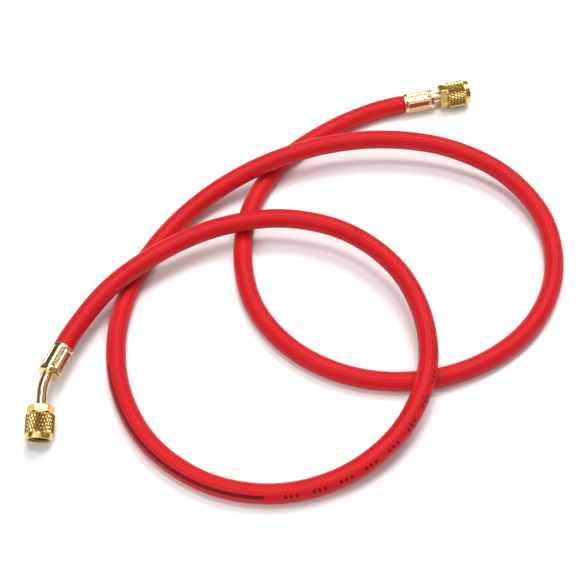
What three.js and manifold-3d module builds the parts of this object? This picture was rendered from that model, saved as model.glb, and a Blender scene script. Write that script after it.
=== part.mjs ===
// A refrigerant charging hose lying loose on a level floor: a flexible red rubber hose
// with a crimped ferrule, a stem and a knurled swivel nut at each end.
// One stem is bent, so that its nut can be reached beside a service valve.
// Millimetres, +Z up. The origin is on the floor, under the middle of the whole part.
import * as THREE from 'three';
import { mergeVertices } from 'three/addons/utils/BufferGeometryUtils.js';
import Module from 'manifold-3d';

const wasm = await Module();
wasm.setup();

// Gaps between pieces that touch, and the room that a nut needs to turn on its stem
const seatGap = 0.3;
const headClearance = 0.55;

// Hose
const hoseOuter = 11.0;
const hoseBore = 4.8;
const hoseCrimped = 9.6;
const hoseSides = 12;
const boreSides = 8;
const hoseSteps = 80;

// Ferrule, from its mouth round the hose to the rim that holds the stem
const ferruleLength = 18.5;
const ferruleOuter = 12.2;
const ferruleEndWall = 2.0;
const rimOuter = 12.8;
const rimLength = 2.2;
const rimRound = 0.5;
const crimpCount = 8;
const crimpFlats = 11.5;
const crimpWidth = 3.4;
const crimpStart = 2.1;
const crimpEnd = 0.9;
const bentCrimpTurn = 12.3;
const straightCrimpTurn = 17.1;

// Stem: a tail inside the hose, a tube, and a head that the nut pulls on
const stemOuter = 6.0;
const stemBore = 2.8;
const tailLength = 13.5;
const stemHeadLength = 2.0;
const noseOuter = 5.2;
const noseLength = 2.0;
const bendLead = 0.4;
const bendRadius = 24.0;
const bentStemRun = 6.9;
const straightStemNeck = 4.2;
const stemSides = 12;
const bentStemSteps = 16;
const straightStemSteps = 1;

// Swivel nut, from its hexagon to its mouth; its thread fits a 1/4 inch flare
const hexFlats = 12.7;
const hexLength = 4.4;
const hexTurned = 14.7;
const hexChamfer = 0.9;
const bentHexTurn = -3.6;
const straightHexTurn = -20.4;
const grooveOuter = 12.4;
const grooveLength = 0.6;
const knurlOuter = 16.0;
const knurlLength = 10.6;
const knurlChamfer = 0.4;
const ringOuter = 14.3;
const ringLength = 3.2;
const ringChamfer = 0.4;
const nutBackWall = 2.6;
const threadMinor = 9.9;
const mouthOuter = 11.4;
const mouthDepth = 1.0;

// Seal ring round the stem's nose, and the core depressor in the bent end
const sealLength = 1.6;
const depressorWidth = 0.9;
const depressorLength = 1.7;
const pinOuter = 1.2;
const pinLength = 2.6;

// How the hose lies: x, y and how far it is lifted, where 0 is lying on the floor
// and 1 is lying on a strand of itself. The first and last points are the ferrules' mouths.
const strandGap = 0.5;
const route = [
  [-132.8, -55.1, 0.77],
  [-128.8, -45.9, 0.79],
  [-110.0, -17.0, 0.97],
  [-82.0, 8.0, 1.02],
  [-49.0, 25.5, 1.01],
  [-12.0, 32.0, 0.98],
  [24.0, 23.0, 0.93],
  [52.0, -2.0, 0.94],
  [66.0, -36.5, 0.97],
  [66.0, -73.5, 1.00],
  [50.0, -107.0, 0.69],
  [21.0, -129.5, 0.21],
  [-15.0, -139.0, 0.04],
  [-51.5, -132.5, 0.00],
  [-82.0, -110.5, 0.00],
  [-100.0, -78.0, 0.00],
  [-105.0, -41.0, 0.00],
  [-98.0, -4.5, 0.00],
  [-80.5, 29.0, 0.05],
  [-54.0, 55.0, 0.49],
  [-22.0, 73.0, 1.00],
  [13.0, 86.5, 1.03],
  [50.0, 91.5, 0.98],
  [87.5, 86.5, 0.81],
  [120.0, 69.0, 0.54],
  [141.0, 38.5, 0.28],
  [144.0, 1.5, 0.06],
  [129.5, -32.5, 0.01],
  [101.5, -57.5, 0.00],
  [66.5, -70.0, 0.00],
  [29.0, -68.5, 0.00],
  [-4.5, -52.0, 0.00],
  [-27.5, -23.0, 0.00],
  [-35.5, 13.5, 0.00],
  [-30.5, 50.5, 0.00],
  [-12.5, 83.5, 0.00],
  [15.5, 108.0, 0.00],
  [43.5, 123.1, 0.04],
  [62.8, 128.7, 0.10],
];

// Which way each end points, in degrees: round from +X, and up from level.
// The bent end's nut rests on the edges of its knurl and of its ring.
const bentFerruleAzimuth = -111.3;
const bentFerrulePitch = 1.5;
const bentNutAzimuth = -90.5;
const straightAzimuth = 11.8;
const straightPitch = 2.8;
const restTilt = THREE.MathUtils.radToDeg(Math.atan((knurlOuter - ringOuter) / 2 / ringLength));
const bentFerruleAim = aim(bentFerruleAzimuth, bentFerrulePitch);
const bentNutAim = aim(bentNutAzimuth, -restTilt);
const straightAim = aim(straightAzimuth, straightPitch);

// Sizes that follow from the ones above
const hoseInsertion = ferruleLength - ferruleEndWall - seatGap;
const ferruleBore = hoseCrimped + 2 * seatGap;
const stemHole = stemOuter + 2 * seatGap;
const tailOuter = hoseBore - 2 * seatGap;
const tubeStart = hoseInsertion + seatGap;
const nutLength = hexLength + grooveLength + knurlLength + ringLength;
const headStart = nutBackWall + seatGap;
const headOuter = threadMinor - 2 * headClearance;
const noseStart = headStart + stemHeadLength;
const stemReach = noseStart + noseLength;
const roundSegments = 24;
const nutSegments = 36;

function aim(azimuth, pitch) {
  const turn = THREE.MathUtils.degToRad(azimuth);
  const rise = THREE.MathUtils.degToRad(pitch);
  return new THREE.Vector3(Math.cos(rise) * Math.cos(turn), Math.cos(rise) * Math.sin(turn), Math.sin(rise));
}

function routePoint([x, y, lift]) {
  return new THREE.Vector3(x, y, hoseOuter / 2 + lift * (hoseOuter + strandGap));
}

// Turns a closed geometry into a solid that can be joined and cut, and back.
function solidOf(geometry, matrix = new THREE.Matrix4()) {
  const bare = geometry.clone().applyMatrix4(matrix);
  bare.deleteAttribute('normal');
  bare.deleteAttribute('uv');
  const merged = mergeVertices(bare, 1e-4);
  const vertProperties = new Float32Array(merged.attributes.position.array);
  const triVerts = new Uint32Array(merged.index.array);
  return new wasm.Manifold(new wasm.Mesh({ numProp: 3, vertProperties, triVerts }));
}

function geometryOf(solid) {
  const mesh = solid.getMesh();
  const geometry = new THREE.BufferGeometry();
  geometry.setAttribute('position', new THREE.BufferAttribute(mesh.vertProperties, 3));
  geometry.setIndex(new THREE.BufferAttribute(mesh.triVerts, 1));
  geometry.computeVertexNormals();
  return geometry;
}

// A turned solid about +Z, from a profile of [radius, z] pairs that closes on itself.
function turned(profile, segments = roundSegments) {
  const outline = [...profile, profile[0]].map(([radius, z]) => new THREE.Vector2(radius, z));
  const geometry = new THREE.LatheGeometry(outline, segments);
  geometry.rotateX(Math.PI / 2);
  return geometry;
}

function rod(diameter, from, to, segments = roundSegments) {
  const r = diameter / 2;
  return turned([[0, from], [r, from], [r, to], [0, to]], segments);
}

function ring(outer, inner, from, to) {
  return turned([[inner / 2, from], [outer / 2, from], [outer / 2, to], [inner / 2, to]]);
}

// A many-sided outline whose flats lie on the given diameter.
function roundShape(diameter, sides) {
  const corner = diameter / 2 / Math.cos(Math.PI / sides);
  const points = Array.from({ length: sides }, (unused, i) => {
    const angle = (2 * Math.PI * i) / sides;
    return new THREE.Vector2(corner * Math.cos(angle), corner * Math.sin(angle));
  });
  return new THREE.Shape(points);
}

// The stem's middle line in its own plane: a lead along +Z, a bend towards +X, then a run.
class BentLine extends THREE.Curve {
  constructor(start, lead, radius, angle, run) {
    super();
    Object.assign(this, { start, lead, radius, angle, run });
    this.total = lead + radius * angle + run;
  }

  getPoint(t, target = new THREE.Vector3()) {
    const along = t * this.total;
    if (along <= this.lead) {
      return target.set(0, 0, this.start + along);
    }
    const turn = Math.min((along - this.lead) / this.radius, this.angle);
    const rest = Math.max(along - this.lead - this.radius * this.angle, 0);
    return target.set(
      this.radius * (1 - Math.cos(turn)) + rest * Math.sin(turn),
      0,
      this.start + this.lead + this.radius * Math.sin(turn) + rest * Math.cos(turn),
    );
  }
}

// The hose follows its route into both ferrules, and is squeezed thinner inside them.
function makeHose(bentFrame, straightFrame) {
  const points = route.map(routePoint);
  points.unshift(points[0].clone().addScaledVector(bentFerruleAim, hoseInsertion));
  points.push(points.at(-1).clone().addScaledVector(straightAim, hoseInsertion));
  const path = new THREE.CatmullRomCurve3(points, false, 'centripetal');
  const section = new THREE.Shape(new THREE.EllipseCurve(0, 0, hoseOuter / 2, hoseOuter / 2)
    .getPoints(hoseSides).slice(0, -1));
  section.holes.push(roundShape(hoseBore, boreSides));
  const tube = new THREE.ExtrudeGeometry(section, { steps: hoseSteps, extrudePath: path });
  const squeeze = ring(2 * hoseOuter, hoseCrimped, -seatGap, ferruleLength);
  return geometryOf(solidOf(tube)
    .subtract(solidOf(squeeze, bentFrame))
    .subtract(solidOf(squeeze, straightFrame)));
}

// A brass shell, crimped on the hose with flats that leave narrow ribs between them.
// crimpTurn says, in degrees, how far the dies were turned round the shell.
function makeFerrule(crimpTurn) {
  const rimStart = ferruleLength - rimLength;
  const shell = turned([
    [ferruleBore / 2, 0],
    [ferruleOuter / 2, 0],
    [ferruleOuter / 2, rimStart],
    [rimOuter / 2, rimStart],
    [rimOuter / 2, ferruleLength - rimRound],
    [rimOuter / 2 - rimRound, ferruleLength],
    [stemHole / 2, ferruleLength],
    [stemHole / 2, ferruleLength - ferruleEndWall],
    [ferruleBore / 2, ferruleLength - ferruleEndWall],
  ]);
  let ferrule = solidOf(shell);
  const crimpLength = rimStart - crimpStart - crimpEnd;
  for (let i = 0; i < crimpCount; i += 1) {
    const die = new THREE.BoxGeometry(ferruleOuter, crimpWidth, crimpLength);
    die.translate(crimpFlats / 2 + ferruleOuter / 2, 0, crimpStart + crimpLength / 2);
    die.rotateZ((2 * Math.PI * i) / crimpCount + THREE.MathUtils.degToRad(crimpTurn));
    ferrule = ferrule.subtract(solidOf(die));
  }
  return geometryOf(ferrule);
}

// A stem is made in its ferrule's frame. nutFrame places the nut's back in that frame.
function makeStem(line, nutFrame) {
  const tubeLine = new BentLine(tubeStart, line.lead + ferruleLength - tubeStart, line.radius,
    line.angle, line.run + headStart + stemHeadLength / 2);
  const boreLine = new BentLine(0, line.lead + ferruleLength, line.radius, line.angle,
    line.run + stemReach + noseLength);
  const steps = line.angle > 0 ? bentStemSteps : straightStemSteps;
  const sweep = (diameter, extrudePath) => new THREE.ExtrudeGeometry(
    roundShape(diameter, stemSides),
    { steps, extrudePath },
  );
  const tailStart = tubeStart - tailLength;
  return geometryOf(solidOf(sweep(stemOuter, tubeLine))
    .add(solidOf(rod(tailOuter, tailStart, tubeStart + stemOuter / 2)))
    .add(solidOf(rod(headOuter, headStart, noseStart), nutFrame))
    .add(solidOf(rod(noseOuter, headStart, stemReach), nutFrame))
    .subtract(solidOf(sweep(stemBore, boreLine))));
}

// A nut with its back at z = 0 and its mouth up +Z, its hexagon turned by hexTurn degrees.
function makeNut(hexTurn) {
  const hexRadius = hexFlats / 2 / Math.cos(Math.PI / 6);
  const hexagon = new THREE.CylinderGeometry(hexRadius, hexRadius, hexLength, 6);
  hexagon.rotateX(Math.PI / 2);
  hexagon.rotateZ(THREE.MathUtils.degToRad(hexTurn));
  hexagon.translate(0, 0, hexLength / 2);
  const hexTurning = turned([
    [0, 0],
    [hexFlats / 2, 0],
    [hexTurned / 2, hexChamfer],
    [hexTurned / 2, hexLength - hexChamfer],
    [hexFlats / 2, hexLength],
    [0, hexLength],
  ], nutSegments);
  const knurlStart = hexLength + grooveLength;
  const knurlEnd = knurlStart + knurlLength;
  const body = turned([
    [0, hexLength / 2],
    [grooveOuter / 2, hexLength / 2],
    [grooveOuter / 2, knurlStart],
    [knurlOuter / 2 - knurlChamfer, knurlStart],
    [knurlOuter / 2, knurlStart + knurlChamfer],
    [knurlOuter / 2, knurlEnd],
    [ringOuter / 2, knurlEnd],
    [ringOuter / 2, nutLength - ringChamfer],
    [ringOuter / 2 - ringChamfer, nutLength],
    [0, nutLength],
  ], nutSegments);
  const socket = turned([
    [0, nutBackWall],
    [threadMinor / 2, nutBackWall],
    [threadMinor / 2, nutLength - mouthDepth],
    [mouthOuter / 2, nutLength],
    [mouthOuter / 2, nutLength + mouthDepth],
    [0, nutLength + mouthDepth],
  ]);
  const stemPassage = rod(stemHole, -seatGap, nutBackWall + seatGap);
  return geometryOf(solidOf(hexagon)
    .intersect(solidOf(hexTurning))
    .add(solidOf(body))
    .subtract(solidOf(socket))
    .subtract(solidOf(stemPassage)));
}

// The seal ring lies round the nose, against the stem's head, in the nut's frame.
function makeSeal() {
  const start = noseStart + seatGap;
  return ring(headOuter, noseOuter + 2 * seatGap, start, start + sealLength);
}

// The depressor is a thin cross bar in the nose's bore with a pin that opens a valve core.
function makeDepressor() {
  const end = stemReach - seatGap;
  const bar = new THREE.BoxGeometry(stemBore - 2 * seatGap, depressorWidth, depressorLength);
  bar.translate(0, 0, end - depressorLength / 2);
  return geometryOf(solidOf(bar).add(solidOf(rod(pinOuter, end - depressorWidth, end + pinLength, 16))));
}

// Frames: a ferrule's frame has its origin at the mouth and +Z outwards along the fitting.
// +X is the side that the stem bends to.
function frameAt(origin, outward, bendTowards) {
  const across = new THREE.Vector3().crossVectors(outward, bendTowards).normalize();
  const side = new THREE.Vector3().crossVectors(across, outward);
  return new THREE.Matrix4().makeBasis(side, across, outward).setPosition(origin);
}

function lineEnd(line) {
  const end = new THREE.Vector3();
  new BentLine(ferruleLength, line.lead, line.radius, line.angle, line.run).getPoint(1, end);
  return new THREE.Matrix4().makeRotationY(line.angle).setPosition(end);
}

const rubber = new THREE.MeshStandardMaterial({ color: 0xd8262e, roughness: 0.45, metalness: 0.0 });
const paleBrass = new THREE.MeshStandardMaterial({ color: 0xd9bd83, roughness: 0.25, metalness: 1.0 });
const brass = new THREE.MeshStandardMaterial({ color: 0xcfa63c, roughness: 0.3, metalness: 1.0 });
const darkRubber = new THREE.MeshStandardMaterial({ color: 0x1c1c1c, roughness: 0.7, metalness: 0.0 });

function named(name, geometry, material) {
  const mesh = new THREE.Mesh(geometry, material);
  mesh.name = name;
  return mesh;
}

function framedGroup(matrix, ...children) {
  const group = new THREE.Group();
  matrix.decompose(group.position, group.quaternion, group.scale);
  group.add(...children);
  return group;
}

const bentLine = {
  lead: bendLead,
  radius: bendRadius,
  angle: bentFerruleAim.angleTo(bentNutAim),
  run: bentStemRun,
};
const straightLine = {
  lead: straightStemNeck / 2,
  radius: bendRadius,
  angle: 0,
  run: straightStemNeck / 2,
};
const bentFrame = frameAt(routePoint(route[0]), bentFerruleAim, bentNutAim);
const straightFrame = frameAt(routePoint(route.at(-1)), straightAim, new THREE.Vector3(0, 0, 1));
const bentNutFrame = lineEnd(bentLine);
const straightNutFrame = lineEnd(straightLine);

const part = new THREE.Group();
part.add(
  named('hose', makeHose(bentFrame, straightFrame), rubber),
  framedGroup(
    bentFrame,
    named('ferrule_bent_end', makeFerrule(bentCrimpTurn), paleBrass),
    named('bent_stem', makeStem(bentLine, bentNutFrame), paleBrass),
    framedGroup(
      bentNutFrame,
      named('nut_bent_end', makeNut(bentHexTurn), brass),
      named('seal_bent_end', makeSeal(), darkRubber),
      named('core_depressor', makeDepressor(), brass),
    ),
  ),
  framedGroup(
    straightFrame,
    named('ferrule_straight_end', makeFerrule(straightCrimpTurn), paleBrass),
    named('straight_stem', makeStem(straightLine, straightNutFrame), paleBrass),
    framedGroup(
      straightNutFrame,
      named('nut_straight_end', makeNut(straightHexTurn), brass),
      named('seal_straight_end', makeSeal(), darkRubber),
    ),
  ),
);

export default part;
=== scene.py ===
# %% [markdown]
# # A refrigerant charging hose, lying loose on a white floor
# The real object is a red rubber hose, 11 mm thick and about 1.4 m long. A brass ferrule is crimped on each
# end. It holds a stem, and on the stem turns a knurled nut, which screws onto a service valve by hand. The
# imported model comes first, because every piece here has to lie where its solid lies. That could be guessed
# from pictures, but the solids carry the true sizes. So each piece is made in millimetres in its solid's own
# frame, and is moved there by one matrix.

# %% Load the solids and keep their box
import math

import bmesh
import bpy
from mathutils import Matrix, Vector


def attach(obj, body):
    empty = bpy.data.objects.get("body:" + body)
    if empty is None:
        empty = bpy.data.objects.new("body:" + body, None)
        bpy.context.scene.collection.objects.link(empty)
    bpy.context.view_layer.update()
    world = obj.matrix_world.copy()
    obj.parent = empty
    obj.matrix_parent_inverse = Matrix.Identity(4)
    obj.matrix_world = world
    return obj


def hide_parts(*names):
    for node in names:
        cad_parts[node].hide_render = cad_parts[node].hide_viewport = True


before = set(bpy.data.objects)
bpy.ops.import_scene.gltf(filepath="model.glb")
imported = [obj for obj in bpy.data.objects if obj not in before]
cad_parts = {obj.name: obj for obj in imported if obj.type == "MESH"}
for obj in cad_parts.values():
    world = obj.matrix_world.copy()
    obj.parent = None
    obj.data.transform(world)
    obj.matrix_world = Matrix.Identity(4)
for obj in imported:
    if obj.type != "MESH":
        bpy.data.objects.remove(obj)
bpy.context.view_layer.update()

# %% [markdown]
# ## Camera
# The camera looks at the hose from above its near edge, 56 degrees down and from 0.84 m away. It could be
# aimed with a constraint, but one turn about one axis is enough here, because the view doesn't lean to a
# side. It comes before the pieces, because it decides which side of each nut and which stretch of the hose
# shows most.

# %% Place the camera
look_at = Vector((-0.00605, -0.0048, 0.0))
look_down = math.radians(56.0)
camera_distance = 0.8373


def add_object(name, data):
    """An object of the scene, made from its data."""
    made = bpy.data.objects.new(name, data)
    bpy.context.collection.objects.link(made)
    return made


camera_data = bpy.data.cameras.new("overview_camera")
camera_data.sensor_fit = "HORIZONTAL"
camera_data.sensor_width = 36.0
camera_data.lens = 88.93
camera_data.clip_start = 0.02
camera_data.clip_end = 20.0
camera = add_object("overview_camera", camera_data)
camera.location = look_at + camera_distance * Vector((0.0, -math.cos(look_down), math.sin(look_down)))
camera.rotation_euler = (math.radians(90.0) - look_down, 0.0, 0.0)
bpy.context.scene.camera = camera
bpy.context.scene.view_settings.view_transform = "Standard"
print("Camera at", tuple(camera.location))

# %% [markdown]
# ## Sizes
# These are the same named sizes, in millimetres, as those of the solids. They could be typed where they are
# used, but with names a reader sees what each one is, and a size that follows from another is worked out.

# %% Sizes of the hose, ferrules, stems and nuts
hose_outer = 11.0
hose_bore = 4.8
hose_crimped = 9.6
seat_gap = 0.3

ferrule_length = 18.5
ferrule_outer = 12.2
ferrule_end_wall = 2.0
rim_outer = 12.8
rim_length = 2.2
crimp_count = 8
crimp_flats = 11.5
crimp_width = 3.4
bent_crimp_turn = 12.3
straight_crimp_turn = 17.1

stem_outer = 6.0
stem_bore = 2.8
tail_length = 13.5
stem_head_length = 2.0
nose_outer = 5.2
nose_length = 2.0
bend_lead = 0.4
bend_radius = 24.0
bent_stem_run = 6.9
straight_stem_neck = 4.2

hex_flats = 12.7
hex_length = 4.4
hex_turned = 14.7
hex_corner = 7.27
hex_chamfer = 0.9
bent_hex_turn = -3.6
straight_hex_turn = -20.4
groove_outer = 12.4
groove_length = 0.6
knurl_outer = 16.0
knurl_length = 10.6
ring_outer = 14.3
ring_length = 3.2
nut_back_wall = 2.6
thread_minor = 9.9
mouth_outer = 11.4
mouth_depth = 1.0
mouth_flare = 0.75
seal_length = 1.6

hose_insertion = ferrule_length - ferrule_end_wall - seat_gap
ferrule_bore = hose_crimped + 2 * seat_gap
stem_hole = stem_outer + 2 * seat_gap
nut_length = hex_length + groove_length + knurl_length + ring_length
head_start = nut_back_wall + seat_gap
head_outer = thread_minor - 1.1
nose_start = head_start + stem_head_length
stem_reach = nose_start + nose_length
print("Nut length", nut_length, "mm, hose inside each ferrule", round(hose_insertion, 2), "mm")

# %% [markdown]
# ## How the hose lies
# A real hose keeps some of the curl it was packed with, so it lies in wide loops that cross each other, and
# it is lifted wherever it crosses itself. It could be drawn as one curve object, but a crimped hose changes
# its thickness at the ends and twists along its length, so a tube made ring by ring suits it better. Each row
# below is one point of its middle line: x and y in millimetres, and the lift, where 0 is lying on the floor
# and 1 is lying on another strand.

# %% Points along the middle of the hose
strand_gap = 0.5
route = [
    (-132.8, -55.1, 0.77),
    (-128.8, -45.9, 0.79),
    (-110.0, -17.0, 0.97),
    (-82.0, 8.0, 1.02),
    (-49.0, 25.5, 1.01),
    (-12.0, 32.0, 0.98),
    (24.0, 23.0, 0.93),
    (52.0, -2.0, 0.94),
    (66.0, -36.5, 0.97),
    (66.0, -73.5, 1.00),
    (50.0, -107.0, 0.69),
    (21.0, -129.5, 0.21),
    (-15.0, -139.0, 0.04),
    (-51.5, -132.5, 0.00),
    (-82.0, -110.5, 0.00),
    (-100.0, -78.0, 0.00),
    (-105.0, -41.0, 0.00),
    (-98.0, -4.5, 0.00),
    (-80.5, 29.0, 0.05),
    (-54.0, 55.0, 0.49),
    (-22.0, 73.0, 1.00),
    (13.0, 86.5, 1.03),
    (50.0, 91.5, 0.98),
    (87.5, 86.5, 0.81),
    (120.0, 69.0, 0.54),
    (141.0, 38.5, 0.28),
    (144.0, 1.5, 0.06),
    (129.5, -32.5, 0.01),
    (101.5, -57.5, 0.00),
    (66.5, -70.0, 0.00),
    (29.0, -68.5, 0.00),
    (-4.5, -52.0, 0.00),
    (-27.5, -23.0, 0.00),
    (-35.5, 13.5, 0.00),
    (-30.5, 50.5, 0.00),
    (-12.5, 83.5, 0.00),
    (15.5, 108.0, 0.00),
    (43.5, 123.1, 0.04),
    (62.8, 128.7, 0.10),
]


def route_point(x, y, lift):
    """A point of the middle line, its height worked out from its lift."""
    return Vector((x, y, hose_outer / 2 + lift * (hose_outer + strand_gap)))


def aim(azimuth, pitch):
    """A direction from its angle round from +X and its angle up from level, in degrees."""
    turn, rise = math.radians(azimuth), math.radians(pitch)
    return Vector((math.cos(rise) * math.cos(turn), math.cos(rise) * math.sin(turn), math.sin(rise)))


rest_tilt = math.degrees(math.atan((knurl_outer - ring_outer) / 2 / ring_length))
bent_ferrule_aim = aim(-111.3, 1.5)
bent_nut_aim = aim(-90.5, -rest_tilt)
straight_aim = aim(11.8, 2.8)
line_points = [route_point(*row) for row in route]
line_points.insert(0, line_points[0] + hose_insertion * bent_ferrule_aim)
line_points.append(line_points[-1] + hose_insertion * straight_aim)
print("The bent nut rests tilted by", round(rest_tilt, 2), "degrees")

# %% [markdown]
# ## One smooth line
# A centripetal Catmull-Rom curve goes through every point and makes no small loops between points that lie
# unevenly. The solids follow the same curve. It is sampled closely, and then walked in steps of equal length,
# so that the rings of the tube lie evenly and a distance along the line is a distance along the real hose.

# %% Walk the line in even steps
def between(before, start, end, after, count):
    """Points from start up to end, on the curve that also heads for before and after."""
    gaps = [math.sqrt((b - a).length) for a, b in ((before, start), (start, end), (end, after))]
    leave = (start - before) / gaps[0] - (end - before) / (gaps[0] + gaps[1]) + (end - start) / gaps[1]
    reach = (end - start) / gaps[1] - (after - start) / (gaps[1] + gaps[2]) + (after - end) / gaps[2]
    leave, reach = leave * gaps[1], reach * gaps[1]
    for i in range(count):
        t = i / count
        yield (
            start
            + leave * t
            + (3 * (end - start) - 2 * leave - reach) * t * t
            + (2 * (start - end) + leave + reach) * t ** 3
        )


ends = [2 * line_points[0] - line_points[1], *line_points, 2 * line_points[-1] - line_points[-2]]
samples = [p for i in range(1, len(ends) - 2) for p in between(*ends[i - 1:i + 3], 40)]
samples.append(line_points[-1].copy())
walked = [0.0]
for a, b in zip(samples, samples[1:]):
    walked.append(walked[-1] + (b - a).length)
hose_length = walked[-1]


def points_at(distances):
    """Points of the middle line at rising distances from its start."""
    found, i = [], 0
    for distance in distances:
        while i < len(walked) - 2 and walked[i + 1] < distance:
            i += 1
        share = (distance - walked[i]) / (walked[i + 1] - walked[i])
        found.append(samples[i].lerp(samples[i + 1], share))
    return found


print("The hose is", round(hose_length, 1), "mm long, ends inside its ferrules included")

# %% [markdown]
# ## Putting a piece in its place
# A finished piece sits at the origin, unturned and unscaled, and its place is in its mesh. So one helper
# takes a piece made in millimetres in a local frame, moves its mesh there, hangs it on an empty named after
# the body that it rides on, and hides the solid that it stands for. Faces that meet at a sharp angle keep a
# hard edge, and the rest are shaded smooth.

# %% Helper that finishes a piece
def finish_piece(name, bm, place, material, body, node, sharp=28.0):
    """Turns a bmesh in millimetres into a named object of the scene, in metres."""
    bmesh.ops.transform(bm, matrix=Matrix.Scale(0.001, 4) @ place, verts=bm.verts)
    limit = math.radians(sharp)
    for edge in bm.edges:
        edge.smooth = edge.calc_face_angle(0.0) < limit
    for face in bm.faces:
        face.smooth = True
    mesh = bpy.data.meshes.new(name)
    bm.to_mesh(mesh)
    bm.free()
    mesh.materials.append(material)
    piece = add_object(name, mesh)
    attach(piece, body)
    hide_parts(node)
    print(name, "has", sum(len(p.vertices) - 2 for p in mesh.polygons), "triangles")
    return piece


def smooth_step(low, high, value):
    """0 below low, 1 above high, and an even slope between them."""
    t = min(max((value - low) / (high - low), 0.0), 1.0)
    return t * t * (3 - 2 * t)


# %% [markdown]
# ## Building materials from nodes
# All finishes here are worked out from the surface itself, so they hold from near and far. A few helpers keep
# the cells short. One adds a node with its inputs, and one starts a node group, so that a finish that several
# materials share is built only once.

# %% Helpers for nodes and groups
def add(tree, kind, settings=None, **inputs):
    """A node with its settings; an input is a value or another node's output."""
    item = tree.nodes.new(kind)
    for key, value in (settings or {}).items():
        setattr(item, key, value)
    for key, value in inputs.items():
        number = key.removeprefix("in_")
        socket = item.inputs[int(number) if number.isdigit() else key.replace("_", " ")]
        if isinstance(value, bpy.types.NodeSocket):
            tree.links.new(value, socket)
        else:
            socket.default_value = value
    return item


def math_of(tree, operation, a, b=0.0, c=0.0):
    """The result of one Math node."""
    return add(tree, "ShaderNodeMath", {"operation": operation}, in_0=a, in_1=b, in_2=c).outputs[0]


def new_group(name, inputs, outputs):
    """An empty shader group with named sockets, and its input and output nodes."""
    group = bpy.data.node_groups.new(name, "ShaderNodeTree")
    for label, value in inputs.items():
        kind = "NodeSocketVector" if value is None else "NodeSocketFloat"
        socket = group.interface.new_socket(label, in_out="INPUT", socket_type=kind)
        if value is not None:
            socket.default_value = value
    for label in outputs:
        group.interface.new_socket(label, in_out="OUTPUT", socket_type="NodeSocketFloat")
    return group, group.nodes.new("NodeGroupInput"), group.nodes.new("NodeGroupOutput")


def use_group(tree, group, **inputs):
    """The result of a group that is placed with its own values."""
    return add(tree, "ShaderNodeGroup", {"node_tree": group}, **inputs).outputs[0]


def mix_colours(tree, factor, a, b):
    """A colour between a and b."""
    a, b = (colour if isinstance(colour, bpy.types.NodeSocket) else (*colour, 1.0) for colour in (a, b))
    return add(tree, "ShaderNodeMix", {"data_type": "RGBA"}, in_0=factor, in_6=a, in_7=b).outputs[2]


# %% [markdown]
# ## Shared finish: mottle
# No real surface has one even tone. Rubber carries faint clouds of bloom and dust, and brass has clouds of
# tarnish and fingerprints. A painted image would tie this to one size, so a noise is used, which reads the
# object's own coordinates in metres and puts out a factor between two given values.

# %% The mottle group
mottle, taken, given = new_group("mottle", {"Scale": 60.0, "Low": 0.0, "High": 1.0}, ["Factor"])
object_place = add(mottle, "ShaderNodeTexCoord").outputs["Object"]
clouds = add(mottle, "ShaderNodeTexNoise", Vector=object_place, Scale=taken.outputs["Scale"], Detail=4.0)
spread = add(
    mottle, "ShaderNodeMapRange", Value=clouds.outputs[0],
    in_1=0.3, in_2=0.7, in_3=taken.outputs["Low"], in_4=taken.outputs["High"],
)
mottle.links.new(spread.outputs[0], given.inputs["Factor"])
print("Group", mottle.name, "is ready")

# %% [markdown]
# ## Shared finish: turning marks
# A lathe leaves fine rings on everything that it turns. They depend only on the distance along the piece, so
# each turned piece carries that distance as an attribute named along, and a noise in one dimension reads it.
# A noise on the object's coordinates would run across the piece wherever the piece lies askew.

# %% The turning marks group
turning_marks, taken, given = new_group("turning_marks", {"Along": 0.0, "Marks per mm": 6.0}, ["Height"])
marks_at = math_of(turning_marks, "MULTIPLY", taken.outputs["Along"], taken.outputs["Marks per mm"])
rings = add(turning_marks, "ShaderNodeTexNoise", {"noise_dimensions": "1D"}, W=marks_at, Scale=1.0, Detail=3.0)
turning_marks.links.new(rings.outputs[0], given.inputs["Height"])
print("Group", turning_marks.name, "is ready")

# %% [markdown]
# ## Shared finish: painted shade and grime in recesses
# Cutting oil and tarnish stay in the bottom of a knurl, a thread or a groove, while hands keep the crests
# bright. The same dark colour is also painted shade: it darkens creases, panel walls, bores and the inside of
# each nut, where shade falls. Each piece carries an attribute named recess, 0 on its crests and 1 in its
# depths. The group breaks it up with a little noise, so that the painted shade and grime don't end on a clean
# line.

# %% The recess shade and grime group
recess_shade_and_grime, taken, given = new_group("recess_shade_and_grime", {"Recess": 0.0, "Scale": 900.0}, ["Grime"])
object_place = add(recess_shade_and_grime, "ShaderNodeTexCoord").outputs["Object"]
specks = add(recess_shade_and_grime, "ShaderNodeTexNoise", Vector=object_place, Scale=taken.outputs["Scale"], Detail=3.0)
uneven = math_of(recess_shade_and_grime, "MULTIPLY_ADD", specks.outputs[0], 0.5, -0.25)
deep = math_of(recess_shade_and_grime, "ADD", taken.outputs["Recess"], uneven)
soft_edge = {"interpolation_type": "SMOOTHSTEP"}
# A mask for a dark colour in the recesses: painted shade together with grime.
shade_and_grime = add(recess_shade_and_grime, "ShaderNodeMapRange", soft_edge, Value=deep, in_1=0.35, in_2=1.0)
recess_shade_and_grime.links.new(shade_and_grime.outputs[0], given.inputs["Grime"])
print("Group", recess_shade_and_grime.name, "is ready")

# %% [markdown]
# ## The hose's cover: ribs
# The cover is pressed on a braid while it is warm, so it shows faint ribs across the hose, about 1.3 mm
# apart, that lean one way and then the other. Real ribs would need millions of faces, so they are bumps. Two
# slanted waves that cross make the small staggered swellings. They read the hose's own map, whose first
# number is the distance along the hose and whose second is the distance round it, both in metres.

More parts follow.
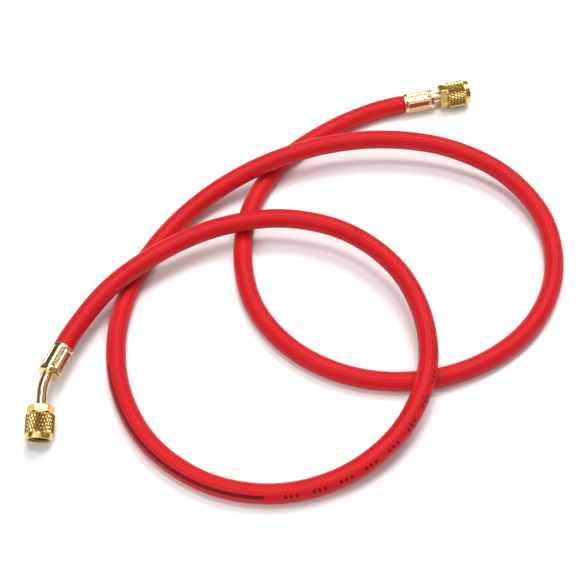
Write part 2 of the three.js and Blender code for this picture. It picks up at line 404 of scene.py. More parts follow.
# %% The cover ribs group
cover_ribs, taken, given = new_group("cover_ribs", {"Map": None, "Pitch": 0.0013, "Lean": 0.35}, ["Height"])
split = add(cover_ribs, "ShaderNodeSeparateXYZ", Vector=taken.outputs["Map"])
lean = math_of(cover_ribs, "MULTIPLY", split.outputs[1], taken.outputs["Lean"])
waves = []
for way in ("ADD", "SUBTRACT"):
    slanted = math_of(cover_ribs, way, split.outputs[0], lean)
    phase = math_of(cover_ribs, "DIVIDE", slanted, taken.outputs["Pitch"])
    waves.append(math_of(cover_ribs, "SINE", math_of(cover_ribs, "MULTIPLY", phase, math.tau)))
crossed = math_of(cover_ribs, "MULTIPLY_ADD", math_of(cover_ribs, "ADD", *waves), 0.25, 0.5)
cover_ribs.links.new(crossed, given.inputs["Height"])
print("Group", cover_ribs.name, "is ready")

# %% [markdown]
# ## The hose's cover: printed marks
# A hose is printed along its length as it leaves the press. Here that is a plain row of bars and, further on,
# one plain stripe. A mark could be a decal, but the printing wheel works by distance along the hose, and so
# does this group: bars repeat inside groups, groups repeat between two distances, and everything stays within
# a band.

# %% The printed marks group
prints, taken, given = new_group("printed_marks", {
    "Map": None, "From": 0.0, "To": 1.0, "Middle": 0.0, "Height": 0.002,
    "Group pitch": 0.01, "Group share": 1.0, "Bar pitch": 0.002, "Bar share": 1.0,
}, ["Mask"])
split = add(prints, "ShaderNodeSeparateXYZ", Vector=taken.outputs["Map"])
along = math_of(prints, "SUBTRACT", split.outputs[0], taken.outputs["From"])


def repeated(pitch, share):
    """1 inside the first share of each pitch along the hose."""
    turn = math_of(prints, "FRACT", math_of(prints, "DIVIDE", along, taken.outputs[pitch]))
    return math_of(prints, "LESS_THAN", turn, taken.outputs[share])


offset = math_of(prints, "SUBTRACT", split.outputs[1], taken.outputs["Middle"])
half_height = math_of(prints, "MULTIPLY", taken.outputs["Height"], 0.5)
mask = math_of(prints, "LESS_THAN", math_of(prints, "ABSOLUTE", offset), half_height)
after_start = math_of(prints, "GREATER_THAN", along, 0.0)
before_end = math_of(prints, "LESS_THAN", split.outputs[0], taken.outputs["To"])
rows = (repeated("Group pitch", "Group share"), repeated("Bar pitch", "Bar share"))
for part in (after_start, before_end, *rows):
    mask = math_of(prints, "MULTIPLY", mask, part)
prints.links.new(mask, given.inputs["Mask"])
print("Group", prints.name, "is ready")

# %% [markdown]
# ## The red rubber
# The cover is a strong red with a soft, broad shine. Its material mixes a slightly darker and a lighter red
# by the mottle, adds the print and a row of pin-pricks, through which gas can leave the cover, and roughens a
# little where there is bloom. The ribs, the pricks and a fine grain go to one bump.

# %% The red cover material
def new_material(name, slot_roughness):
    """A material with one Principled BSDF, whose even values are set on its own sockets."""
    material = bpy.data.materials.new(name)
    material.use_nodes = True
    shader = material.node_tree.nodes["Principled BSDF"]
    shader.inputs["Roughness"].default_value = slot_roughness
    return material, material.node_tree, shader


def add_bump(tree, shader, distance, height):
    """Tilts the shading by a height, of which 1 stands for distance in metres."""
    bumped = add(tree, "ShaderNodeBump", Strength=1.0, Distance=distance, Height=height).outputs[0]
    tree.links.new(bumped, shader.inputs["Normal"])


red_cover, tree, shader = new_material("red_rubber_cover", 0.42)
hose_map = add(tree, "ShaderNodeUVMap", {"uv_map": "hose_map"}).outputs[0]
clouds = use_group(tree, mottle, Scale=45.0)
base_red = mix_colours(tree, clouds, (0.53, 0.004, 0.008), (0.59, 0.006, 0.011))

bar_row = {"Group_pitch": 0.0147, "Group_share": 0.6, "Bar_pitch": 0.00294, "Bar_share": 0.52}
one_stripe = {"Group_pitch": 1.0, "Bar_pitch": 1.0}
stretches = ((0.2635, 0.4345, bar_row), (0.4422, 0.5662, one_stripe), (1.030, 1.070, bar_row))
all_ink = 0.0
for start, end, pattern in stretches:
    band = {"Map": hose_map, "From": start, "To": end, "Middle": 0.0048, "Height": 0.0021}
    all_ink = math_of(tree, "MAXIMUM", all_ink, use_group(tree, prints, **band, **pattern))
worn_ink = math_of(tree, "MULTIPLY", all_ink, use_group(tree, mottle, Scale=1400.0, Low=0.72, High=1.0))
inked = mix_colours(tree, worn_ink, base_red, (0.055, 0.004, 0.007))

prick_pitch = 0.021
split = add(tree, "ShaderNodeSeparateXYZ", Vector=hose_map)
prick_turn = math_of(tree, "FRACT", math_of(tree, "DIVIDE", split.outputs[0], prick_pitch))
prick_along = math_of(tree, "MULTIPLY", math_of(tree, "SUBTRACT", prick_turn, 0.5), prick_pitch)
prick_round = math_of(tree, "SUBTRACT", split.outputs[1], 0.0003)
prick_place = add(tree, "ShaderNodeCombineXYZ", X=prick_along, Y=prick_round).outputs[0]
prick_away = add(tree, "ShaderNodeVectorMath", {"operation": "LENGTH"}, in_0=prick_place).outputs["Value"]
prick = add(tree, "ShaderNodeMapRange", Value=prick_away, in_1=0.00032, in_2=0.00012).outputs[0]
cover_colour = mix_colours(tree, math_of(tree, "MULTIPLY", prick, 0.75), inked, (0.09, 0.004, 0.006))
tree.links.new(cover_colour, shader.inputs["Base Color"])
shader.inputs["Specular IOR Level"].default_value = 0.21

sheen_change = use_group(tree, mottle, Scale=120.0, Low=0.38, High=0.47)
tree.links.new(math_of(tree, "MULTIPLY_ADD", all_ink, -0.08, sheen_change), shader.inputs["Roughness"])
ribs = use_group(tree, cover_ribs, Map=hose_map)
grain = add(tree, "ShaderNodeTexNoise", Vector=hose_map, Scale=2600.0, Detail=3.0).outputs[0]
relief = math_of(tree, "MULTIPLY_ADD", grain, 0.15, math_of(tree, "SUBTRACT", ribs, prick))
add_bump(tree, shader, 0.00025, relief)
print("Material", red_cover.name, "has", len(tree.nodes), "nodes")

# %% [markdown]
# ## Brass, twice
# The nuts are turned from yellow brass. The ferrules and stems look paler, because they are made of another
# brass and plated thinly. Both are metals, so nearly all their colour comes from what they reflect, and the
# base colour only tints it. The mottle gives the clouds of tarnish, a dark colour in the recesses paints shade
# there together with grime, and the turning marks go to a very shallow bump.

# %% The two brass materials
def brass_material(name, bright, dull, shade_and_grime_colour, roughness, marks, marks_height):
    """A turned brass with tarnish, painted shade and grime in its recesses and the marks of the lathe."""
    material, tree, shader = new_material(name, roughness)
    shader.inputs["Metallic"].default_value = 1.0
    layers = [add(tree, "ShaderNodeAttribute", {"attribute_name": layer}) for layer in ("along", "recess")]
    along, recess = (layer.outputs["Fac"] for layer in layers)
    tarnish = use_group(tree, mottle, Scale=260.0)
    # The recess mask darkens the colour: painted shade in creases, bores and hollows, with some grime.
    shade_and_grime = use_group(tree, recess_shade_and_grime, Recess=recess)
    colour = mix_colours(tree, shade_and_grime, mix_colours(tree, tarnish, bright, dull), shade_and_grime_colour)
    tree.links.new(colour, shader.inputs["Base Color"])
    uneven = use_group(tree, mottle, Scale=700.0, Low=roughness - 0.05, High=roughness + 0.06)
    tree.links.new(math_of(tree, "MULTIPLY_ADD", shade_and_grime, 0.22, uneven), shader.inputs["Roughness"])
    marks_made = use_group(tree, turning_marks, Along=along, Marks_per_mm=marks)
    add_bump(tree, shader, marks_height, marks_made)
    print("Material", name, "has", len(tree.nodes), "nodes")
    return material


# The third colour of each brass is its recess colour, painted shade and grime together.
yellow_brass = brass_material(
    "turned_yellow_brass", (0.78, 0.57, 0.20), (0.68, 0.47, 0.14), (0.12, 0.060, 0.015), 0.27, 7.0, 0.0000015,
)
pale_brass = brass_material(
    "pale_plated_brass", (0.84, 0.65, 0.38), (0.74, 0.55, 0.29), (0.22, 0.13, 0.06), 0.19, 5.0, 0.0000008,
)

# %% [markdown]
# ## The seal's rubber
# The ring inside each nut is a black rubber that oil keeps slightly glossy. Plain black would look like a
# hole, so it is a dark grey with dust and a moulded grain.

# %% The seal rubber material
seal_rubber, tree, shader = new_material("black_seal_rubber", 0.55)
dust = use_group(tree, mottle, Scale=500.0)
dusty_black = mix_colours(tree, dust, (0.012, 0.012, 0.012), (0.035, 0.033, 0.031))
tree.links.new(dusty_black, shader.inputs["Base Color"])
tree.links.new(use_group(tree, mottle, Scale=300.0, Low=0.45, High=0.65), shader.inputs["Roughness"])
object_place = add(tree, "ShaderNodeTexCoord").outputs["Object"]
grain = add(tree, "ShaderNodeTexNoise", Vector=object_place, Scale=5000.0, Detail=2.0).outputs[0]
add_bump(tree, shader, 0.00001, grain)
print("Material", seal_rubber.name, "has", len(tree.nodes), "nodes")

# %% [markdown]
# ## The hose
# The hose is a tube with a bore, squeezed thinner where the ferrules grip it. It is made from two flat grids,
# one for the outside and one for the bore. Each is rolled round the middle line by moving its vertices, its
# long seam is welded, and the two are joined at the ends. A swept curve would do for a plain tube, but this
# way the grid's own coordinates become the hose's map, and the columns can turn slowly, as the real hose is
# twisted.

# %% Where the rings of the hose lie
mouth_rings = [-6.0, -0.4, 0.0, 0.3, 0.6, 0.9, 1.2, 1.6, 2.0]
bent_end = [0.0, 5.0, *(hose_insertion + d for d in mouth_rings)]
straight_end = [hose_length - d for d in reversed(bent_end)]
middle_count = 684
middle_span = straight_end[0] - bent_end[-1]
middle = [bent_end[-1] + middle_span * i / middle_count for i in range(1, middle_count)]
stations = [*bent_end, *middle, *straight_end]
print(len(stations), "rings,", round(middle_span / middle_count, 2), "mm apart")


# %% Helpers that shape the hose
def hose_radius(distance):
    """Radius of the cover: squeezed inside a ferrule, and full just outside its mouth."""
    out = min(distance, hose_length - distance) - hose_insertion
    return hose_crimped / 2 + (hose_outer - hose_crimped) / 2 * smooth_step(-0.4, 1.8, out)


def twist_at(distance):
    """How far the hose is turned about itself; its second half has turned by a sixth of a turn."""
    return math.radians(60.0) * smooth_step(575.0, 1025.0, distance)


def ring_frames():
    """The middle point, the left side and the top of each ring."""
    centres = points_at(stations)
    reach = [centres[0], *centres, centres[-1]]
    for before, centre, after in zip(reach, centres, reach[2:]):
        travel = (after - before).normalized()
        left = Vector((0, 0, 1)).cross(travel).normalized()
        yield centre, left, travel.cross(left)


rings_of_hose = list(ring_frames())


def rolled_grid(bm, columns, radius_at, rounded_map):
    """A grid rolled round the middle line, with the hose's map on its faces."""
    grid = bmesh.ops.create_grid(bm, x_segments=len(stations) - 1, y_segments=columns, size=1.0)
    ring_of = {v: round((v.co.x + 1) / 2 * (len(stations) - 1)) for v in grid["verts"]}
    share_of = {v: round((v.co.y + 1) / 2 * columns) / columns - 0.5 for v in grid["verts"]}
    faces = {f for v in grid["verts"] for f in v.link_faces}
    for face in faces:
        for loop in face.loops:
            v = loop.vert
            loop[rounded_map].uv = (stations[ring_of[v]] / 1000, share_of[v] * math.pi * hose_outer / 1000)
    for v in grid["verts"]:
        distance = stations[ring_of[v]]
        centre, left, top = rings_of_hose[ring_of[v]]
        angle = math.tau * share_of[v] + twist_at(distance)
        v.co = centre + radius_at(distance) * (math.cos(angle) * top + math.sin(angle) * left)
    bmesh.ops.remove_doubles(bm, verts=grid["verts"], dist=0.001)


# %% Roll the cover and the bore, and join them
bm = bmesh.new()
map_layer = bm.loops.layers.uv.new("hose_map")
cover_columns, bore_columns = 48, 16
rolled_grid(bm, cover_columns, hose_radius, map_layer)
rolled_grid(bm, bore_columns, lambda distance: hose_bore / 2, map_layer)
for end_point in (line_points[0], line_points[-1]):
    rim = [e for e in bm.edges if e.is_boundary and (e.verts[0].co - end_point).length < 8]
    bmesh.ops.bridge_loops(bm, edges=rim)
bmesh.ops.recalc_face_normals(bm, faces=bm.faces)
print("Open edges left:", sum(e.is_boundary for e in bm.edges))
hose = finish_piece(
    "rubber_hose", bm, Matrix(), red_cover, "hose_assembly", "hose", sharp=60.0,
)

# %% [markdown]
# ## Turned pieces
# Ferrules, stems, nuts and seals are all made on a lathe, so they start alike here: a closed outline of
# radius and distance along the axis is spun once round. A cylinder with cuts would need boolean tools, which
# leave ragged faces. Each point of the outline keeps its number on a layer, so that a later formula can find
# the whole ring that came from it.

# %% Helpers for turned pieces
def eased(outline, size):
    """Cuts each corner of a closed outline by size, so that it catches the light as a real edge does."""
    result = []
    for i, corner in enumerate(outline):
        here = Vector(corner)
        sides = [Vector(outline[i - 1]) - here, Vector(outline[(i + 1) % len(outline)]) - here]
        first, last = (here + side.normalized() * min(size, side.length / 2.5) for side in sides)
        result += [tuple(first), tuple(here * 0.42 + (first + last) * 0.29), tuple(last)]
    return result


marks_start = 40.0


def spun(outline, columns):
    """Spins a closed outline about +Z. Its layers hold each ring's number and what the brass reads."""
    bm = bmesh.new()
    number = bm.verts.layers.int.new("ring")
    along = bm.verts.layers.float.new("along")
    recess = bm.verts.layers.float.new("recess")
    corners = [bm.verts.new((radius, 0.0, z)) for radius, z in outline]
    for i, corner in enumerate(corners):
        corner[number] = i
    sides = [bm.edges.new(pair) for pair in zip(corners, corners[1:] + corners[:1])]
    bmesh.ops.spin(
        bm, geom=corners + sides, cent=(0, 0, 0), axis=(0, 0, 1), dvec=(0, 0, 0),
        angle=math.tau, steps=columns, use_merge=True,
    )
    bmesh.ops.remove_doubles(bm, verts=bm.verts, dist=1e-5)
    bmesh.ops.recalc_face_normals(bm, faces=bm.faces)
    for v in bm.verts:
        v[along] = v.co.z + marks_start
    return bm, number, recess


def steps_between(start, end, count):
    """Evenly spaced values from start up to and with end."""
    return [start + (end - start) * i / count for i in range(count + 1)]


# %% [markdown]
# ## Local frames
# Each fitting has the same frame as its solid. The origin of a ferrule's frame is the middle of its mouth,
# and +Z runs outwards along the fitting. A nut's frame starts at its back.

# %% The frames of both fittings
def frame_at(origin, outward, bend_towards):
    """A frame whose +Z is outward, and whose +X is the side that the stem bends to."""
    across = outward.cross(bend_towards).normalized()
    side = across.cross(outward)
    turned = Matrix((side, across, outward)).transposed().to_4x4()
    return Matrix.Translation(origin) @ turned


bend_angle = bent_ferrule_aim.angle(bent_nut_aim)
bent_frame = frame_at(route_point(*route[0]), bent_ferrule_aim, bent_nut_aim)
straight_frame = frame_at(route_point(*route[-1]), straight_aim, Vector((0, 0, 1)))


def on_stem(distance, angle, lead):
    """Turns a distance along a stem into its place and its turn in the ferrule's frame."""
    turn = min(max((distance - ferrule_length - lead) / bend_radius, 0.0), angle)
    rest = max(distance - ferrule_length - lead - bend_radius * angle, 0.0)
    before = min(distance, ferrule_length + lead)
    place = Vector((
        bend_radius * (1 - math.cos(turn)) + rest * math.sin(turn),
        0.0,
        before + bend_radius * math.sin(turn) + rest * math.cos(turn),
    ))
    return Matrix.Translation(place) @ Matrix.Rotation(turn, 4, "Y")


bent_back = ferrule_length + bend_lead + bend_radius * bend_angle + bent_stem_run
straight_back = ferrule_length + straight_stem_neck
bent_nut_frame = bent_frame @ on_stem(bent_back, bend_angle, bend_lead)
straight_nut_frame = straight_frame @ Matrix.Translation((0, 0, straight_back))
print("The bent stem turns by", round(math.degrees(bend_angle), 2), "degrees")

# %% [markdown]
# ## Ferrules
# A ferrule is a brass cup. Eight dies squeeze it onto the hose and leave eight sunken panels with narrow ribs
# between them, a scalloped mouth and a rim that is nearly eight-sided. Each rib has a fine crease where two
# dies met. Boxes could be cut out of the cup, but dies leave soft corners. So it is spun with rings and
# columns where the panels' walls will be, and each vertex is moved in by how far it lies inside a panel. The
# floors are flat, and deeper than the solid's by die_bite.

# %% The ferrule's outline
rim_start = ferrule_length - rim_length
crimp_start = 2.1
crimp_end = rim_start - 0.9
wall_rings = [-0.45, -0.2, 0.0, 0.2, 0.45, 0.8, 1.3]
ferrule_rows = [0.5, 1.0, *(crimp_start + d for d in wall_rings)]
ferrule_rows += steps_between(crimp_start + 2.0, crimp_end - 2.0, 8)
ferrule_rows += [crimp_end - d for d in reversed(wall_rings)]
inside = [(stem_hole / 2 - 0.2, ferrule_length), (stem_hole / 2 - 0.2, ferrule_length - ferrule_end_wall),
          (ferrule_bore / 2, ferrule_length - ferrule_end_wall), (ferrule_bore / 2, 0.0)]
shell_radius, rim_radius = ferrule_outer / 2, rim_outer / 2
mouth = [(shell_radius - 0.35, 0.0), (shell_radius - 0.12, 0.08), (shell_radius, 0.28)]
rim = [(shell_radius, rim_start - 0.15), (shell_radius + 0.06, rim_start),
       (rim_radius - 0.12, rim_start + 0.1), (rim_radius, rim_start + 0.3), (rim_radius, ferrule_length - 0.8),
       (rim_radius - 0.15, ferrule_length - 0.3), (rim_radius - 0.5, ferrule_length - 0.06),
       (rim_radius - 0.8, ferrule_length)]
ferrule_outline = [*mouth, *((shell_radius, z) for z in ferrule_rows), *rim, *inside]
print("The ferrule's outline has", len(ferrule_outline), "points")


# %% Make both ferrules
def panel_angle(column_angle):
    """Moves the columns of one sector together at the panel's walls."""
    sector = math.tau / crimp_count
    number = math.floor(column_angle / sector + 0.5)
    part = (column_angle - number * sector) / (sector / 2)
    stops = [(0.0, 0.0), (0.5, 0.66), (0.84, 0.84), (1.0, 1.0)]
    size = abs(part)
    for (a, b), (c, d) in zip(stops, stops[1:]):
        if a <= size <= c + 1e-9:
            moved = b + (d - b) * (size - a) / (c - a)
            break
    return number * sector + math.copysign(moved, part) * sector / 2


ferrule_columns = 24 * crimp_count
panel_corner = 0.7
panel_wall = 0.17
die_bite = 0.15
scallop_depth = 0.13
crease_depth = 0.12
crease_reach = 0.3
rim_flats = 0.962 * rim_outer
half_pitch = math.pi * ferrule_outer / crimp_count / 2


def outside_panel(around, along):
    """0 on the floor of a panel, 1 outside it, and a soft wall between them."""
    half_width, half_length = crimp_width / 2, (crimp_end - crimp_start) / 2
    dx = abs(around) - half_width + panel_corner
    dz = abs(along - (crimp_start + crimp_end) / 2) - half_length + panel_corner
    away = math.hypot(max(dx, 0.0), max(dz, 0.0)) + min(max(dx, dz), 0.0) - panel_corner
    return smooth_step(-panel_wall, panel_wall, away)


def make_ferrule(name, place, turn, node):
    """Spins the cup, sinks its eight panels and flattens its rim."""
    bm, number, recess = spun(ferrule_outline, ferrule_columns)
    outside_rings = len(ferrule_outline) - len(inside)
    for v in bm.verts:
        if v[number] >= outside_rings:
            continue
        angle = panel_angle(math.atan2(v.co.y, v.co.x))
        radius, along = math.hypot(v.co.x, v.co.y), v.co.z
        off_centre = angle - round(angle / (math.tau / crimp_count)) * math.tau / crimp_count
        around = crimp_flats / 2 * math.tan(off_centre)
        if along < rim_start - 0.2:
            outside = outside_panel(around, along)
            scallop = scallop_depth * math.cos(crimp_count * angle)
            scallop *= 1 - smooth_step(0.0, crimp_start, along)
            floor_radius = (crimp_flats / 2 - die_bite) / math.cos(off_centre)
            in_panels = smooth_step(crimp_start - 0.3, crimp_start + 0.5, along)
            in_panels *= 1 - smooth_step(crimp_end - 0.5, crimp_end + 0.3, along)
            off_rib = half_pitch - abs(off_centre) * shell_radius
            crease = in_panels * (1 - smooth_step(0.0, crease_reach, off_rib))
            radius = (radius - scallop - crease_depth * crease) * outside + floor_radius * (1 - outside)
            # Panel floors, walls and creases count as recesses, which the brass paints dark: painted shade
            # with some grime.
            v[recess] = max(0.3 * (1 - outside), 0.75 * (1 - abs(2 * outside - 1)), 0.95 * crease)
        else:
            eight_sided = rim_flats / 2 / math.cos(off_centre)
            radius = min(radius, eight_sided * radius / rim_radius)
        v.co.x, v.co.y = radius * math.cos(angle), radius * math.sin(angle)
    turned = place @ Matrix.Rotation(math.radians(turn), 4, "Z")
    return finish_piece(name, bm, turned, pale_brass, "hose_assembly", node)


make_ferrule("crimped_ferrule_bent", bent_frame, bent_crimp_turn, "ferrule_bent_end")
straight_ferrule = make_ferrule(
    "crimped_ferrule_straight", straight_frame, straight_crimp_turn, "ferrule_straight_end",
)

# %% [markdown]
# ## Stems
# A stem is one turned tube. Its barbed tail grips the inside of the hose, its head is what the nut pulls on,
# and its nose reaches into the valve. The real one is turned straight and then bent in a former, and it is
# made that way here: a spun tube with close rings, whose vertices are then moved onto the bent line.

# %% Make both stems
def stem_outline(back):
    """The stem laid out straight, from the tail to the nose and back through the bore."""
    tail_start = hose_insertion + seat_gap - tail_length
    tail = [(stem_bore / 2, tail_start), (1.85, tail_start)]
    for i in range(4):
        barb = tail_start + 0.6 + 2.6 * i
        tail += [(2.1, barb + 1.5), (2.1, barb + 1.8), (1.85, barb + 2.0)]
    tube_start = hose_insertion + seat_gap
    head_back, head_front, tip = back + head_start, back + nose_start, back + stem_reach
    tube = [(1.95, tube_start), (stem_outer / 2, tube_start)]
    tube += [(stem_outer / 2, z) for z in steps_between(tube_start + 0.8, head_back - 0.2, 30)]
    head = [(stem_outer / 2 + 0.12, head_back), (head_outer / 2 - 0.15, head_back),
            (head_outer / 2, head_back + 0.15), (head_outer / 2, head_front - 0.15),
            (head_outer / 2 - 0.15, head_front), (nose_outer / 2 + 0.1, head_front),
            (nose_outer / 2, head_front + 0.1), (nose_outer / 2, tip - 0.3), (nose_outer / 2 - 0.3, tip),
            (stem_bore / 2 + 0.15, tip), (stem_bore / 2, tip - 0.15)]
    bore = [(stem_bore / 2, z) for z in reversed(steps_between(tail_start + 1, head_front, 36))]
    return [*tail, *tube, *head, *bore]


def make_stem(name, place, node, back, angle, lead):
    """Spins the stem straight and then bends it."""
    bm, _, recess = spun(stem_outline(back), 48)
    for v in bm.verts:
        flat = Vector((v.co.x, v.co.y, 0.0))
        # The bore counts as a recess, so the brass paints it dark: painted shade.
        v[recess] = 0.8 if flat.length < stem_bore / 2 + 0.05 else 0.0
        v.co = on_stem(v.co.z, angle, lead) @ flat
    return finish_piece(name, bm, place, pale_brass, "hose_assembly", node)


make_stem("bent_tube_stem", bent_frame, "bent_stem", bent_back, bend_angle, bend_lead)
straight_stem = make_stem(
    "straight_tube_stem", straight_frame, "straight_stem", straight_back, 0.0, straight_stem_neck,
)

# %% [markdown]
# ## Swivel nuts
# A nut is turned from hexagon bar. Only its back keeps the six flats, with the arcs that a chamfer cuts on
# them. The middle is rolled between two slanted knurling wheels, whose grooves cross and leave raised
# diamonds, and the front is a plain ring round a thread. It is one spun outline with 240 columns, which is
# six times forty for the hexagon and thirty times eight for the diamonds, so every corner and every groove
# falls on a column. The hexagon's three rings start as circles, and formulas move them.

# %% The nut's outline
knurl_start = hex_length + groove_length
knurl_end = knurl_start + knurl_length
nut_columns = 240
diamonds_round = 30
diamond_columns = nut_columns // diamonds_round
diamond_length = 4.0
knurl_depth = 0.55
hex_circle = 7.0
knurl_rows = steps_between(knurl_start + 0.3, knurl_end - 0.3, 20)
face_circle = groove_outer / 2
back_part = [("flat", stem_hole / 2, 0.12), ("flat", stem_hole / 2 + 0.12, 0.0), ("flat", face_circle, 0.0),
             ("arc_low", hex_circle, hex_chamfer), ("arc_mid", hex_circle, hex_length / 2),
             ("arc_high", hex_circle, hex_length - hex_chamfer), ("flat", face_circle, hex_length),
             ("groove", face_circle - 0.02, knurl_start - 0.12), ("groove", face_circle + 0.12, knurl_start)]
knurl_part = [("shoulder", knurl_outer / 2 - 0.42, knurl_start)]
knurl_part += [("knurl", knurl_outer / 2, z) for z in knurl_rows]
knurl_part += [("shoulder", knurl_outer / 2 - 0.35, knurl_end)]
ring_part = [("flat", ring_outer / 2 + 0.1, knurl_end), ("flat", ring_outer / 2, knurl_end + 0.12),
             ("flat", ring_outer / 2, nut_length - 0.4), ("flat", ring_outer / 2 - 0.1, nut_length - 0.14),
             ("flat", ring_outer / 2 - 0.36, nut_length), ("flat", mouth_outer / 2 + 0.1, nut_length),
             ("flat", mouth_outer / 2, nut_length - 0.08)]
thread_pitch = 1.27
thread_depth = 0.55
thread_rows = steps_between(nut_length - 0.25, nose_start + seat_gap + seal_length + 0.8, 50)
thread_part = [("thread", thread_minor / 2, z) for z in thread_rows]
inner_part = [("flat", thread_minor / 2, nut_back_wall + 0.2), ("flat", thread_minor / 2 - 0.2, nut_back_wall),
              ("flat", stem_hole / 2 + 0.12, nut_back_wall), ("flat", stem_hole / 2, nut_back_wall - 0.12)]
nut_rings = [*back_part, *knurl_part, *ring_part, *thread_part, *inner_part]
print("The nut's outline has", len(nut_rings), "points")


# %% Formulas for the hexagon, the diamonds and the thread
def hexagon_radius(angle):
    """Radius of a hexagon whose flats face 0, 60, 120 degrees and on, its corners a little blunt."""
    sector = math.tau / 6
    off_flat = (angle + sector / 2) % sector - sector / 2
    return min(hex_flats / 2 / math.cos(off_flat), hex_corner)


def triangle(value):
    """0 at whole numbers, 1 halfway between them."""
    return 1 - abs(2 * (value % 1) - 1)


def diamond_height(angle, along):
    """Height of a knurled surface, 0 in its grooves and 1 on the diamonds."""
    turn = diamonds_round * angle / math.tau
    way = (along - knurl_rows[0]) / diamond_length
    return min(1.08 * min(triangle(turn + way), triangle(turn - way)), 1.0)


def thread_radius(angle, along):
    """The thread winds once round in each pitch, and fades out near the seal."""
    groove = min(1.5 * triangle(along / thread_pitch - angle / math.tau), 1.0)
    fade = smooth_step(thread_rows[-1], thread_rows[-1] + 1.2, along)
    cone = thread_minor / 2 + mouth_flare * (along - nut_length + mouth_depth) / mouth_depth
    return max(thread_minor / 2 + thread_depth * groove * fade, cone)


# %% Make both nuts
def shape_nut_vertex(v, kind):
    """Moves one vertex of the spun nut, and returns how deep in a recess it lies."""
    angle, radius, along = math.atan2(v.co.y, v.co.x), math.hypot(v.co.x, v.co.y), v.co.z
    # Grooves, threads, knurl valleys and the inside of the back wall count as recesses, which the brass paints
    # dark: painted shade with some grime.
    recess = {"groove": 0.75, "thread": 0.75}.get(kind, 0.0)
    if kind.startswith("arc"):
        radius = hexagon_radius(angle)
        cut = hex_chamfer * (radius - face_circle) / (hex_turned / 2 - face_circle)
        along = {"arc_low": cut, "arc_mid": along, "arc_high": hex_length - cut}[kind]
    elif kind == "knurl":
        height = diamond_height(angle, along)
        radius -= knurl_depth * (1 - height)
        recess = 1.0 - height
    elif kind == "thread":
        radius = thread_radius(angle, along)
    elif 1.0 < along < nut_back_wall + 0.3:
        recess = 0.9
    v.co = (radius * math.cos(angle), radius * math.sin(angle), along)
    return recess


def split_along_grooves(bm, number):
    """Cuts each knurled face in two along its groove, so that the grooves stay straight."""
    rows = [i for i, ring in enumerate(nut_rings) if ring[0] == "knurl"]
    for face in list(bm.faces):
        if len(face.verts) != 4 or any(v[number] not in rows for v in face.verts):
            continue
        places = {}
        for v in face.verts:
            column = round(math.atan2(v.co.y, v.co.x) / math.tau * nut_columns) % nut_columns
            places[v] = (column, v[number] - rows[0])
        for a, b in ((face.verts[0], face.verts[2]), (face.verts[1], face.verts[3])):
            (column_a, row_a), (column_b, row_b) = places[a], places[b]
            rising = (column_b - column_a - row_b + row_a) % nut_columns == 0
            key = column_a - row_a if rising else column_a + row_a
            if key % diamond_columns == 0:
                bmesh.utils.face_split(face, a, b)
                break


def make_nut(name, place, turn, body, node):
    """Spins the nut and shapes its hexagon, its knurl and its thread."""
    bm, number, recess = spun([(radius, along) for _, radius, along in nut_rings], nut_columns)
    for v in bm.verts:
        v[recess] = shape_nut_vertex(v, nut_rings[v[number]][0])
    split_along_grooves(bm, number)
    turned = place @ Matrix.Rotation(math.radians(turn), 4, "Z")
    return finish_piece(name, bm, turned, yellow_brass, body, node)


make_nut("swivel_nut_bent", bent_nut_frame, bent_hex_turn, "bent_end_nut", "nut_bent_end")
straight_nut = make_nut(
    "swivel_nut_straight", straight_nut_frame, straight_hex_turn, "straight_end_nut", "nut_straight_end",
)

# %% [markdown]
# ## Seals
# A flat rubber ring lies round the nose, against the head, and the valve's flare presses on it. It is moulded
# with soft edges and a shallow dish in its face, so its outline is eased much more than that of a metal
# piece.

# %% Make both seals
def make_seal(name, place, node):
    """Spins a soft ring that lies round a stem's nose."""
    inner, outer = nose_outer / 2 + seat_gap, head_outer / 2
    start, end = nose_start + seat_gap, nose_start + seat_gap + seal_length
    middle = (inner + outer) / 2
    square = [(inner, start), (outer, start), (outer, end), (middle + 0.3, end - 0.1),
              (middle - 0.3, end - 0.1), (inner, end)]
    bm = spun(eased(eased(square, 0.3), 0.08), 96)[0]
    return finish_piece(name, bm, place, seal_rubber, "hose_assembly", node, sharp=60.0)


make_seal("seal_ring_bent", bent_nut_frame, "seal_bent_end")
straight_seal = make_seal("seal_ring_straight", straight_nut_frame, "seal_straight_end")

# %% [markdown]
# ## Core depressor
# The bent end carries a small cross bar in its bore. A pin on it pushes a valve's core open when the nut is
# screwed on. The bar is milled and the pin turned, so one starts from a cube with bevelled edges and the
# other is spun, and they are kept in one mesh, because they are pressed together for good.

# %% Make the core depressor
bar_width, bar_length = 0.9, 1.7
bar_end = stem_reach - seat_gap
pin_radius, pin_end = 0.6, bar_end + 2.6
pin_outline = [(0.0, bar_end - 0.5), (pin_radius, bar_end - 0.5), (pin_radius, bar_end + 0.3),
               (pin_radius - 0.05, bar_end + 0.35), (pin_radius - 0.05, pin_end - 0.5),
               (pin_radius - 0.15, pin_end - 0.2), (0.25, pin_end - 0.03), (0.0, pin_end)]
bm = spun(pin_outline, 32)[0]
bar = bmesh.ops.create_cube(bm, size=1.0)["verts"]
bmesh.ops.scale(bm, vec=(stem_bore - 2 * seat_gap, bar_width, bar_length), verts=bar)
bmesh.ops.translate(bm, vec=(0, 0, bar_end - bar_length / 2), verts=bar)
bar_edges = list({e for v in bar for e in v.link_edges})
bmesh.ops.bevel(
    bm, geom=bar_edges, offset=0.12, offset_type="OFFSET", affect="EDGES", segments=3, profile=0.5,
    material=-1,
)
finish_piece(
    "core_depressor_pin", bm, bent_nut_frame, yellow_brass, "hose_assembly", "core_depressor",
)

# %% [markdown]
# ## The hose's middle line
# The middle line of the hose is sampled in even steps from end to end, in metres, as the path of a cord.

hose_path = [tuple(p / 1000) for p in points_at(steps_between(0.0, hose_length, 280))]
print("Cord of", round(hose_length / 1000, 3), "m with", len(hose_path), "points")

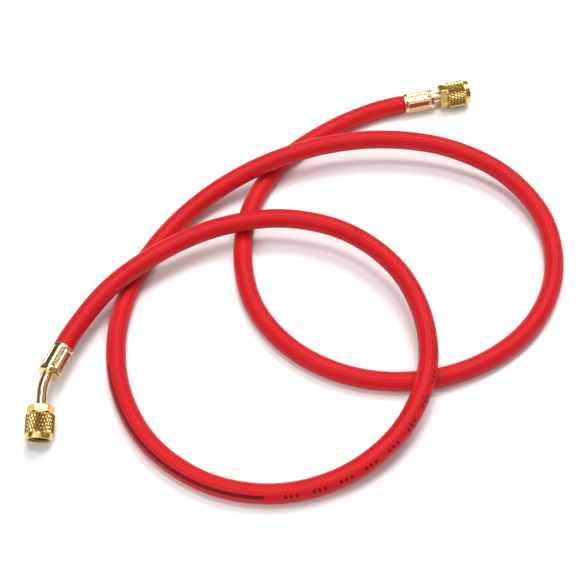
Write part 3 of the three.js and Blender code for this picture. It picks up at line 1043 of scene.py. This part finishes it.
# %% [markdown]
# ## Floor and light
# The hose lies on a white sheet in a studio. Five soft boxes hang above and behind it. Their shadows overlap
# in a narrow soft band on the viewer's side of every strand, and the flats of the nuts mirror them. Three
# wide panels beside and in front fill the shadows and give the brass something pale to mirror. One lamp would
# be simpler, but brass under it looks black. Each lamp's strength is its share of the floor's light. The
# shares add up to more than 1, so the open floor is plain white and only the overlap of the shadows shows.

# %% Floor
white_sheet, tree, shader = new_material("white_sheet", 0.75)
sheet_tone = use_group(tree, mottle, Scale=3.0)
sheet_white = mix_colours(tree, sheet_tone, (0.90, 0.90, 0.90), (0.915, 0.913, 0.91))
tree.links.new(sheet_white, shader.inputs["Base Color"])
shader.inputs["Specular IOR Level"].default_value = 0.2
bm = bmesh.new()
bmesh.ops.create_grid(bm, x_segments=2, y_segments=2, size=2.5)
floor_mesh = bpy.data.meshes.new("floor")
bm.to_mesh(floor_mesh)
bm.free()
floor_mesh.materials.append(white_sheet)
floor = add_object("floor", floor_mesh)
print("Floor is", tuple(floor.dimensions))

# %% Light
lamp_distance = 2.0
full_power = 44.0


def area_lamp(name, azimuth, elevation, size, share):
    """A square soft lamp; it hangs at an angle round from +X and one up from level."""
    data = bpy.data.lights.new(name, "AREA")
    data.shape = "SQUARE"
    data.size = size
    data.energy = full_power * share / math.sin(math.radians(elevation))
    lamp = add_object(name, data)
    outward = aim(azimuth, elevation)
    lamp.location = lamp_distance * outward
    lamp.rotation_euler = outward.to_track_quat("Z", "Y").to_euler()
    print(name, "at", tuple(round(x, 2) for x in lamp.location))


area_lamp("top_box", 90.0, 89.0, 0.5, 0.23)
area_lamp("right_box", 47.0, 56.0, 0.5, 0.24)
area_lamp("back_box", 74.0, 66.0, 0.4, 0.17)
area_lamp("upper_box", 130.0, 80.0, 0.45, 0.12)
area_lamp("low_box", 90.0, 54.0, 0.5, 0.14)
area_lamp("left_panel", 218.0, 46.0, 1.3, 0.23)
area_lamp("front_panel", 272.0, 50.0, 1.6, 0.11)
area_lamp("side_panel", 8.0, 32.0, 1.3, 0.025)
world = bpy.data.worlds.new("white_room")
world.use_nodes = True
world.node_tree.nodes["Background"].inputs["Color"].default_value = (1.0, 1.0, 1.0, 1.0)
world.node_tree.nodes["Background"].inputs["Strength"].default_value = 0.12
bpy.context.scene.world = world
